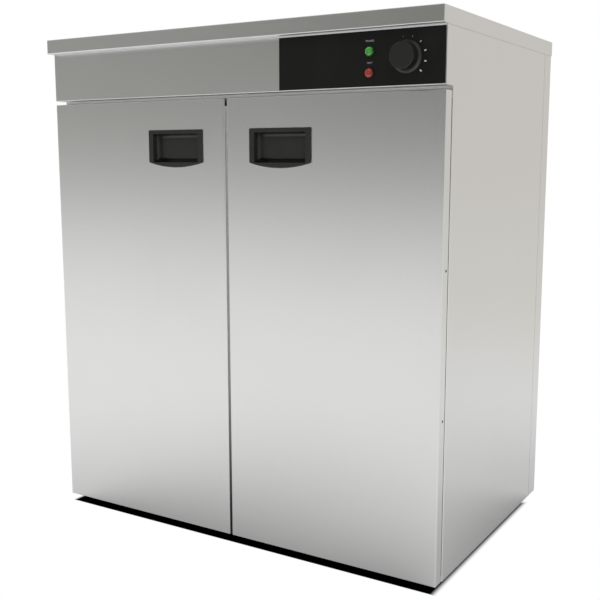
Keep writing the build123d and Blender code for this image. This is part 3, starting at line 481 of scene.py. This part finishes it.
# %% [markdown]
# **Satin steel.** Doors, sides, worktop, liner and deck are all polished
# sheet. Each could have a material drawn for it alone. One recipe keeps them
# of a kind: grain, handling marks, scratches and rubbed edges, each with its
# own share. The inner sheets are brighter and more worn, and the direction of
# the grain differs, because each sheet is cut along its length.


# %% Satin steel
def satin_steel(name, stretch, colour=(0.785, 0.785, 0.780), roughness=0.30, depth=1.0, wear=0.5):
    material, tree, shader = new_finish(name, Metallic=1.0)
    lines = place(tree, grain, Stretch=stretch, Depth=depth)
    smudges = place(tree, marks, Size=4.5, Amount=wear)
    hair = place(tree, scratches, Density=wear)
    rubbed = place(tree, edge_rub, Radius=1.2 * MM, Amount=0.6)
    dull = math_node(tree, "MULTIPLY_ADD", (smudges, "Mask"), -0.02, (lines, "Tone"))
    bright = math_node(tree, "MULTIPLY_ADD", (rubbed, "Mask"), 0.10, dull)
    connect(tree, shader, Base_Color=tint(tree, colour, bright))
    rough = math_node(tree, "ADD", (lines, "Roughness"), roughness)
    rough = math_node(tree, "MULTIPLY_ADD", (smudges, "Mask"), 0.04, rough)
    rough = math_node(tree, "MULTIPLY_ADD", (hair, "Mask"), 0.10, rough)
    connect(tree, shader, Roughness=rough)
    height = math_node(tree, "MULTIPLY_ADD", (hair, "Mask"), -0.6, (lines, "Height"))
    raise_surface(tree, shader, height, 0.08, 0.05 * MM)
    return material


ALONG_X, ALONG_Z = (14.0, 1100.0, 1100.0), (1100.0, 1100.0, 14.0)
door_steel = satin_steel("door_steel", ALONG_Z)
side_steel = satin_steel("side_steel", ALONG_Z)
lid_steel = satin_steel("lid_steel", ALONG_X, wear=0.8)
liner_steel = satin_steel("liner_steel", ALONG_Z, colour=(0.70, 0.70, 0.68), roughness=0.22, wear=0.6)
deck_steel = satin_steel("deck_steel", ALONG_X, colour=(0.68, 0.675, 0.65), roughness=0.24, wear=1.0)
plain_steel = satin_steel("plain_steel", ALONG_X, colour=(0.60, 0.60, 0.59), roughness=0.34, depth=0.6)
print("steel finishes ready")

# %% [markdown]
# ** Wire, screws and hinges.** The shelves are chromed wire, the screws and
# pins are plain bright metal, and the hinge leaves are near black: painted
# shade, so that the narrow gap where the hinge sits reads as a dark line. All
# are too narrow to show a grain, so the recipe for sheets would be wasted on
# them: smudges and a faint unevenness are enough.


# %% Wire, screws and hinges
def bright_metal(name, colour, roughness):
    material, tree, shader = new_finish(name, Metallic=1.0)
    smudges = place(tree, marks, Size=14.0, Amount=0.8)
    tone = math_node(tree, "MULTIPLY_ADD", (smudges, "Mask"), -0.14, 1.0)
    connect(tree, shader, Base_Color=tint(tree, colour, tone))
    connect(tree, shader, Roughness=math_node(tree, "MULTIPLY_ADD", (smudges, "Mask"), 0.12, roughness))
    here = add(tree, "TexCoord")
    raise_surface(tree, shader, noise(tree, (here, "Object"), 700.0, 2.0), 0.06, 0.08 * MM)
    return material


shelf_wire = bright_metal("shelf_wire", (0.78, 0.78, 0.79), 0.12)
screw_metal = bright_metal("screw_metal", (0.66, 0.66, 0.65), 0.26)
# Near black as painted shade for the gap where the hinge sits.
shade_dark_hinge = bright_metal("shade_dark_hinge", (0.034, 0.033, 0.031), 0.40)
print("wire, screw and hinge finishes ready")

# %% [markdown]
# **Element sheath.** A heating element runs hot, so its steel tube is dark
# brown to blue grey, in bands that follow how hot each stretch gets. A map of
# the heat would have to follow every bend. A slow noise between the two
# colours looks the same from outside the guard.

# %% Element sheath
element_sheath, tree, shader = new_finish("element_sheath", Metallic=1.0)
here = add(tree, "TexCoord")
bands = ramp(tree, noise(tree, (here, "Object"), 11.0, 3.0), 0.35, 0.68)
tones = blend_colour(tree, bands, (0.20, 0.16, 0.12, 1.0), (0.20, 0.22, 0.27, 1.0))
smudges = place(tree, marks, Size=25.0, Amount=1.0)
connect(tree, shader, Base_Color=tones,
        Roughness=math_node(tree, "MULTIPLY_ADD", (smudges, "Mask"), 0.2, 0.36))
raise_surface(tree, shader, noise(tree, (here, "Object"), 900.0, 2.0), 0.15, 0.1 * MM)
print("finish", element_sheath.name)

# %% [markdown]
# ** Moulded black plastic.** Handles, knob and housings. Black plastic is
# never fully black: the moulded skin scatters light and rubbed edges go
# shiny. A flat dark colour would look like a hole. One recipe serves every
# moulded piece, also the ceramic and the rubber. A piece can bring a small
# function for a tone of its own: the handle gets painted shade on the faces
# that look upward, such as the lower wall of its recess, and the knob's skirt
# is paler than its grip, most of all below.


# %% Moulded plastic
def moulded(name, colour, roughness, skin=1500.0, bump=0.25, shine=0.5, wear=None):
    material, tree, shader = new_finish(name, Specular_IOR_Level=shine)
    skin_group = place(tree, moulded_skin, Scale=skin)
    rubbed = place(tree, edge_rub, Radius=1.1 * MM, Amount=1.0)
    smudges = place(tree, marks, Size=22.0, Amount=0.7)
    tone = math_node(tree, "MULTIPLY_ADD", (rubbed, "Mask"), 0.45, (skin_group, "Tone"))
    # wear gives one piece a tone of its own: painted shade on the handle, a paler skirt on the knob.
    if wear:
        tone = math_node(tree, "MULTIPLY", tone, wear(tree))
    connect(tree, shader, Base_Color=tint(tree, colour, tone))
    rough = math_node(tree, "MULTIPLY_ADD", (rubbed, "Mask"), -0.14, roughness)
    rough = math_node(tree, "MULTIPLY_ADD", (smudges, "Mask"), -0.07, rough)
    connect(tree, shader, Roughness=rough)
    raise_surface(tree, shader, (skin_group, "Height"), bump, 0.1 * MM)
    return material


def shade_upward_faces(tree):
    """Painted shade on faces that look upward, such as the lower wall of the handle recess."""
    facing = add(tree, "SeparateXYZ", None, Vector=(add(tree, "NewGeometry"), "True Normal"))
    return ramp(tree, (facing, "Z"), 0.15, 0.60, 1.0, 0.10)


def paler_skirt(tree):
    """The skirt is paler than the grip, most of all below."""
    low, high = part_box("thermostat_knob")
    spot_axes = point_axes(tree)
    flat = add(tree, "CombineXYZ", None, X=(spot_axes, "X"), Z=(spot_axes, "Z"))
    axis = ((low.x + high.x) / 2, 0.0, (low.z + high.z) / 2)
    away = add(tree, "VectorMath", {"operation": "DISTANCE"}, i0=(flat, "Vector"), i1=axis)
    rim = (high.x - low.x) / 2
    skirt = ramp(tree, (away, "Value"), rim - 3.5 * MM, rim - 2.0 * MM)
    lower = ramp(tree, (spot_axes, "Z"), axis[2] - 8.0 * MM, axis[2] - 17.0 * MM, 0.25, 1.5)
    return math_node(tree, "MULTIPLY_ADD", skirt, lower, 1.0)


handle_plastic = moulded("handle_plastic", (0.0135, 0.0135, 0.0122), 0.26, bump=0.10, shine=0.45,
                         wear=shade_upward_faces)
knob_plastic = moulded("knob_plastic", (0.0097, 0.0097, 0.0090), 0.36, bump=0.15, shine=0.42,
                       wear=paler_skirt)
housing_plastic = moulded("housing_plastic", (0.022, 0.022, 0.024), 0.5)
ceramic = moulded("ceramic", (0.74, 0.71, 0.64), 0.55, skin=900.0, shine=0.3)
rubber = moulded("rubber", (0.018, 0.018, 0.018), 0.72, skin=700.0, bump=0.35, shine=0.3)
print("plastic finishes ready")

# %% [markdown]
# ** Meeting seal.** A pale strip in the gap between the doors. Towards its foot
# it carries painted shade, where the gap goes dark. A second material for the
# lower part would leave a line across it, so its height above the floor darkens
# it steadily on the way down.

# %% Meeting seal
# Painted shade: full below the first height, gone above the second.
shade_dark_below, shade_gone_above = 0.02, 0.36
seal_rubber, tree, shader = new_finish("seal_rubber", Specular_IOR_Level=0.25)
here = add(tree, "TexCoord")
out_of_shade = ramp(tree, (point_axes(tree), "Z"), shade_dark_below, shade_gone_above)
grime = ramp(tree, noise(tree, (here, "Object"), 60.0, 4.0, 0.6), 0.3, 0.7, 0.92, 1.06)
tone = math_node(tree, "MULTIPLY", ramp(tree, out_of_shade, 0.0, 1.0, 0.04, 1.0, smooth=False), grime)
skin_group = place(tree, moulded_skin, Scale=1800.0)
connect(tree, shader, Base_Color=tint(tree, (0.245, 0.245, 0.238), tone),
        Roughness=ramp(tree, out_of_shade, 0.0, 1.0, 0.75, 0.55))
raise_surface(tree, shader, (skin_group, "Height"), 0.2, 0.1 * MM)
print("finish", seal_rubber.name)

# %% [markdown]
# **Control plate.** A thin black overlay, smooth and slightly silky. The
# recipe for moulded plastic would give it a pebbled skin that it does not
# have, so it gets a finish of its own, with very fine dust and the marks of
# fingers.

# %% Control plate
overlay, tree, shader = new_finish("plate_overlay", Specular_IOR_Level=0.22)
here = add(tree, "TexCoord")
specks = ramp(tree, noise(tree, (here, "Object"), 1400.0, 2.0, 0.6), 0.62, 0.80)
smudges = place(tree, marks, Size=16.0, Amount=1.0)
tone = math_node(tree, "MULTIPLY_ADD", specks, 0.5, 1.0)
tone = math_node(tree, "MULTIPLY_ADD", (smudges, "Mask"), 0.35, tone)
connect(tree, shader, Base_Color=tint(tree, (0.0042, 0.0042, 0.0039), tone))
connect(tree, shader, Roughness=math_node(tree, "MULTIPLY_ADD", (smudges, "Mask"), 0.14, 0.40))
raise_surface(tree, shader, noise(tree, (here, "Object"), 500.0, 2.0), 0.05, 0.1 * MM)
print("finish", overlay.name)

# %% [markdown]
# ** Lamp lenses.** Coloured clear plastic over a bright inside. A glass shader
# would need a lit reflector behind it. From outside the lens reads as a
# saturated dome with facets, so colour with a little glow stands in for it,
# with a painted highlight on the lighter rim, painted shade on the darker far
# side and painted light and shade on the facets.


# %% Lamp lenses
def lens_finish(name, node, colour, glow):
    material, tree, shader = new_finish(name, Coat_Weight=0.6, Coat_Roughness=0.12, Emission_Strength=1.0)
    low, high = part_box(node)
    middle, radius = (low + high) / 2, (high.x - low.x) / 2
    here = add(tree, "TexCoord")
    spot = add(tree, "NewGeometry")
    away = add(tree, "VectorMath", {"operation": "DISTANCE"}, i0=(spot, "Position"), i1=tuple(middle))
    # A painted highlight on the rim and painted shade on the far side; the glow follows them.
    rim = ramp(tree, (away, "Value"), 0.35 * radius, 0.85 * radius, 0.90, 1.22)
    far_side_shade = ramp(tree, (point_axes(tree), "X"), middle.x, high.x, 1.08, 0.52)
    # Painted light and shade on the facets.
    facets = add(tree, "TexVoronoi", None, Vector=(here, "Object"), Scale=420.0)
    tone = ramp(tree, (facets, "Distance"), 0.1, 0.9, 1.35, 0.60)
    tone = math_node(tree, "MULTIPLY", tone, math_node(tree, "MULTIPLY", rim, far_side_shade))
    connect(tree, shader, Base_Color=tint(tree, colour, tone), Emission_Color=tint(tree, glow, tone))
    bloom = noise(tree, (here, "Object"), 300.0, 2.0)
    connect(tree, shader, Roughness=ramp(tree, bloom, 0.3, 0.7, 0.22, 0.36))
    raise_surface(tree, shader, (facets, "Distance"), 0.35, 0.3 * MM)
    return material


green_lens = lens_finish("green_lens", "power_lamp_lens", (0.038, 0.185, 0.029), (0.005, 0.024, 0.003))
red_lens = lens_finish("red_lens", "heat_lamp_lens", (0.190, 0.024, 0.016), (0.020, 0.002, 0.001))
print("lens finishes ready")

# %% [markdown]
# **Lamp collars.** Each collar is moulded in the colour of its lens and looks
# nearly black, because no light stands behind it. The two lamp bodies are one
# node in the frame, so two materials would have to be given face by face.
# Height tells them apart instead: green above, red below.

# %% Lamp collars
green_collar, red_collar = (0.0030, 0.030, 0.0012, 1.0), (0.024, 0.0022, 0.0014, 1.0)
collar_plastic, tree, shader = new_finish("collar_plastic", Specular_IOR_Level=0.25)
between_lamps = (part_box("power_lamp_lens")[0].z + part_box("heat_lamp_lens")[1].z) / 2
upper = ramp(tree, (point_axes(tree), "Z"), between_lamps - 0.5 * MM, between_lamps + 0.5 * MM)
skin_group = place(tree, moulded_skin, Scale=1500.0)
connect(tree, shader, Base_Color=blend_colour(tree, upper, red_collar, green_collar),
        Roughness=ramp(tree, (skin_group, "Height"), 0.2, 0.8, 0.26, 0.36))
raise_surface(tree, shader, (skin_group, "Height"), 0.08, 0.1 * MM)
print("finish", collar_plastic.name)

# %% [markdown]
# **Mineral wool.** Matted yellow-brown fibres fill the walls, and show only
# if a panel is taken off. Strands of hair would be many thousands of curves
# that nobody sees. Noise drawn out along one axis gives fibres enough.

# %% Mineral wool
wool, tree, shader = new_finish("mineral_wool", Sheen_Weight=0.3, Sheen_Roughness=0.6,
                                Specular_IOR_Level=0.2)
here = add(tree, "TexCoord")
drawn = add(tree, "VectorMath", {"operation": "MULTIPLY"}, i0=(here, "Object"), i1=(500.0, 90.0, 220.0))
fibres = noise(tree, (drawn, "Vector"), 1.0, 5.0, 0.7)
tufts = noise(tree, (here, "Object"), 30.0, 3.0)
wool_colour = blend_colour(tree, fibres, (0.40, 0.33, 0.17, 1.0), (0.66, 0.58, 0.36, 1.0))
connect(tree, shader, Base_Color=wool_colour, Roughness=ramp(tree, tufts, 0.3, 0.7, 0.8, 0.95))
raise_surface(tree, shader, fibres, 0.7, 1.5 * MM)
print("finish", wool.name)

# %% [markdown]
# ## Dressing the bodies
#
# A node from the frame keeps its shape and gets its finish in its first
# material slot. That could be a line for each node. A table from node to
# finish says the same at a glance, and fails at once if a node is missing.

# %% Give each node its finish
finish_of = {
    "worktop": lid_steel, "control_fascia": lid_steel, "control_plate": overlay,
    "left_side_panel": side_steel, "right_side_panel": side_steel, "rear_panel": side_steel,
    "base_panel": plain_steel, "rubber_feet": rubber, "rear_panel_screws": screw_metal,
    "worktop_stiffeners": plain_steel, "top_rail": lid_steel, "bottom_rail": lid_steel,
    "magnetic_catches": housing_plastic, "control_bulkhead": plain_steel,
    "insulation_left": wool, "insulation_right": wool, "insulation_rear": wool, "insulation_top": wool,
    "liner_left": liner_steel, "liner_right": liner_steel, "liner_top": liner_steel,
    "liner_floor": liner_steel, "liner_rear": liner_steel,
    "thermostat_body": housing_plastic, "thermostat_capillary": screw_metal, "bulb_clip": plain_steel,
    "thermostat_spindle": screw_metal, "thermostat_knob": knob_plastic, "lamp_bodies": collar_plastic,
    "power_lamp_lens": green_lens, "heat_lamp_lens": red_lens, "lamp_nuts": housing_plastic,
    "terminal_block": ceramic, "cable_gland": housing_plastic, "gland_nut": housing_plastic,
    "wiring_conduits": plain_steel, "heating_element": element_sheath, "element_brackets": plain_steel,
    "element_bushings": ceramic, "element_guard": deck_steel, "shelf_uprights": liner_steel,
    "shelf_clips": plain_steel, "lower_shelf": shelf_wire, "upper_shelf": shelf_wire,
    "hinge_frame_leaves": shade_dark_hinge, "hinge_pins": screw_metal, "meeting_seal": seal_rubber,
}
for hand in ("left", "right"):
    finish_of.update({
        hand + "_door_skin": door_steel, hand + "_door_inner_panel": door_steel, hand + "_door_core": wool,
        hand + "_handle_cup": handle_plastic, hand + "_door_rubbers": rubber,
        hand + "_hinge_door_leaf": shade_dark_hinge})

for name, body in cabinet_nodes.items():
    body.data.materials.clear()
    body.data.materials.append(finish_of[name])
print("dressed", len(finish_of), "nodes")

# %% [markdown]
# ## Marks printed on the control plate
#
# Around the knob stand six radial dashes that grow with the heat, and above
# each lamp a tiny caption. A picture on the plate would go soft from near by,
# so the marks are pieces of their own. Print has hardly any thickness: a mark
# is a sliver of a twentieth of a millimetre on the plate's face.


# %% Ink
def ink_finish(name, colour):
    material, tree, shader = new_finish(name, Specular_IOR_Level=0.3)
    here = add(tree, "TexCoord")
    cover = ramp(tree, noise(tree, (here, "Object"), 2600.0, 2.0), 0.30, 0.62, 0.72, 1.0)
    connect(tree, shader, Base_Color=tint(tree, colour, cover),
            Roughness=ramp(tree, noise(tree, (here, "Object"), 900.0), 0.3, 0.7, 0.45, 0.6))
    return material


ink = ink_finish("white_ink", (0.46, 0.46, 0.45))
thin_ink = ink_finish("thin_ink", (0.27, 0.26, 0.28))
print("finishes", ink.name, "and", thin_ink.name)

# %% [markdown]
# **Slivers.** A dash could be a cube that is scaled, turned and moved. A list
# of eight corners and six faces is as short, and one mesh then holds as many
# of them as are wanted. The same slivers serve for the dial and, further on,
# for the recesses of the screws.

# %% Sliver tools
print_rise = 0.05 * MM
SLAB_FACES = ((0, 1, 2, 3), (7, 6, 5, 4), (0, 4, 5, 1), (1, 5, 6, 2), (2, 6, 7, 3), (3, 7, 4, 0))


def fix_to_cabinet(name, mesh, material):
    """A new piece with one finish, which stays with the cabinet's body."""
    mesh.materials.clear()
    mesh.materials.append(material)
    piece = bpy.data.objects.new(name, mesh)
    bpy.context.scene.collection.objects.link(piece)
    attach(piece, "cabinet")


def toward(angle):
    return Vector((math.cos(angle), 0, math.sin(angle)))


def add_sliver(verts, faces, middle, angle, length, width):
    """Adds a thin slab that lies along the angle and stands in front of the middle's depth."""
    along = toward(angle)
    across = Vector((-along.z, 0, along.x))
    first = len(verts)
    for y in (-print_rise, 0.0):
        for a, b in ((-1, -1), (1, -1), (1, 1), (-1, 1)):
            verts.append(middle + along * (a * length / 2) + across * (b * width / 2) + Vector((0, y, 0)))
    faces.extend(tuple(first + i for i in face) for face in SLAB_FACES)


def mesh_of(name, verts, faces):
    mesh = bpy.data.meshes.new(name)
    mesh.from_pydata([tuple(v) for v in verts], [], faces)
    return mesh


print("sliver tools ready")

# %% [markdown]
# **Dial scale.** The dashes start at the top and go round to the lower right.
# The first two are hardly wider than a line. The print sits a little below the
# knob's axis, as a sticker does that was laid on by hand.

# %% Dial scale
plate_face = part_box("control_plate")[0].y
knob_low, knob_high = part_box("thermostat_knob")
print_offset_x, print_offset_z = 0.3 * MM, -1.0 * MM
dial_centre = Vector(((knob_low.x + knob_high.x) / 2 + print_offset_x, plate_face,
                      (knob_low.z + knob_high.z) / 2 + print_offset_z))
scale_radius = 28.9 * MM
dash_length = 3.0 * MM
first_dash, dash_step = 102.0, 28.8
dash_widths_mm = (0.20, 0.30, 0.80, 1.55, 1.70, 1.85)

verts, faces = [], []
for index, width in enumerate(dash_widths_mm):
    angle = math.radians(first_dash - index * dash_step)
    add_sliver(verts, faces, dial_centre + toward(angle) * scale_radius, angle, dash_length, width * MM)
fix_to_cabinet("dial_scale", mesh_of("dial_scale", verts, faces), ink)
print("dial scale of", len(dash_widths_mm), "dashes")

# %% [markdown]
# **Captions.** A word above each lamp says what it is for. Letters could be
# drawn point by point, but a text curve already holds them. It is given a
# little depth, turned upright, and made into a mesh.


# %% Captions
def caption(name, words, lens, rise, size):
    """A word as thin raised print, its middle above the middle of a lens."""
    text = bpy.data.curves.new(name, "FONT")
    text.body = words
    text.size = size
    text.align_x = "CENTER"
    text.align_y = "CENTER"
    text.extrude = print_rise / 2
    text.resolution_u = 3
    holder = bpy.data.objects.new(name + "_curve", text)
    bpy.context.scene.collection.objects.link(holder)
    bpy.context.view_layer.update()
    mesh = bpy.data.meshes.new_from_object(holder.evaluated_get(bpy.context.evaluated_depsgraph_get()))
    bpy.data.objects.remove(holder)
    low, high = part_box(lens)
    centre = Vector(((low.x + high.x) / 2, plate_face - print_rise / 2, (low.z + high.z) / 2 + rise))
    mesh.transform(Matrix.Translation(centre) @ Matrix.Rotation(math.radians(90), 4, "X"))
    fix_to_cabinet(name, mesh, thin_ink)


caption("power_caption", "POWER", "power_lamp_lens", rise=14.5 * MM, size=3.9 * MM)
caption("heat_caption", "HEAT", "heat_lamp_lens", rise=14.0 * MM, size=3.4 * MM)
print("two captions")

# %% [markdown]
# ## Cross recesses of the rear screws
#
# The rear panel is held by cross-head screws. Their recesses could be cut,
# but a body of the frame keeps its shape, so each recess is painted shade: a
# thin dark cross on the flat of the head. The screws are one node: their heads
# are found by the rearmost points of the mesh, taken together where they lie
# close.

# %% Screw recesses
# A near black that paints the shade inside each cross recess.
recess_shade = moulded("recess_shade", (0.006, 0.006, 0.006), 0.6, bump=0.1)
recess_length, recess_width = 4.2 * MM, 0.9 * MM
turn_from_head_to_head = 18.0
head_spread = 8.0 * MM
screws = cabinet_nodes["rear_panel_screws"]
points = sorted((screws.matrix_world @ v.co for v in screws.data.vertices), key=lambda point: -point.y)

heads = []
for point in points:
    close = [head for head in heads if math.hypot(point.x - head[0].x, point.z - head[0].z) < head_spread]
    if not close:
        heads.append([point])
    elif close[0][0].y - point.y < print_rise:
        close[0].append(point)

verts, faces = [], []
for index, head in enumerate(heads):
    on_head = sum(head, Vector()) / len(head) + Vector((0, print_rise, 0))
    for quarter in (0.0, 90.0):
        angle = math.radians(turn_from_head_to_head * index + quarter)
        add_sliver(verts, faces, on_head, angle, recess_length, recess_width)
fix_to_cabinet("rear_screw_recess_shade", mesh_of("rear_screw_recess_shade", verts, faces), recess_shade)
print("recesses in", len(heads), "screw heads")

# %% Finish
print("scene dressed")
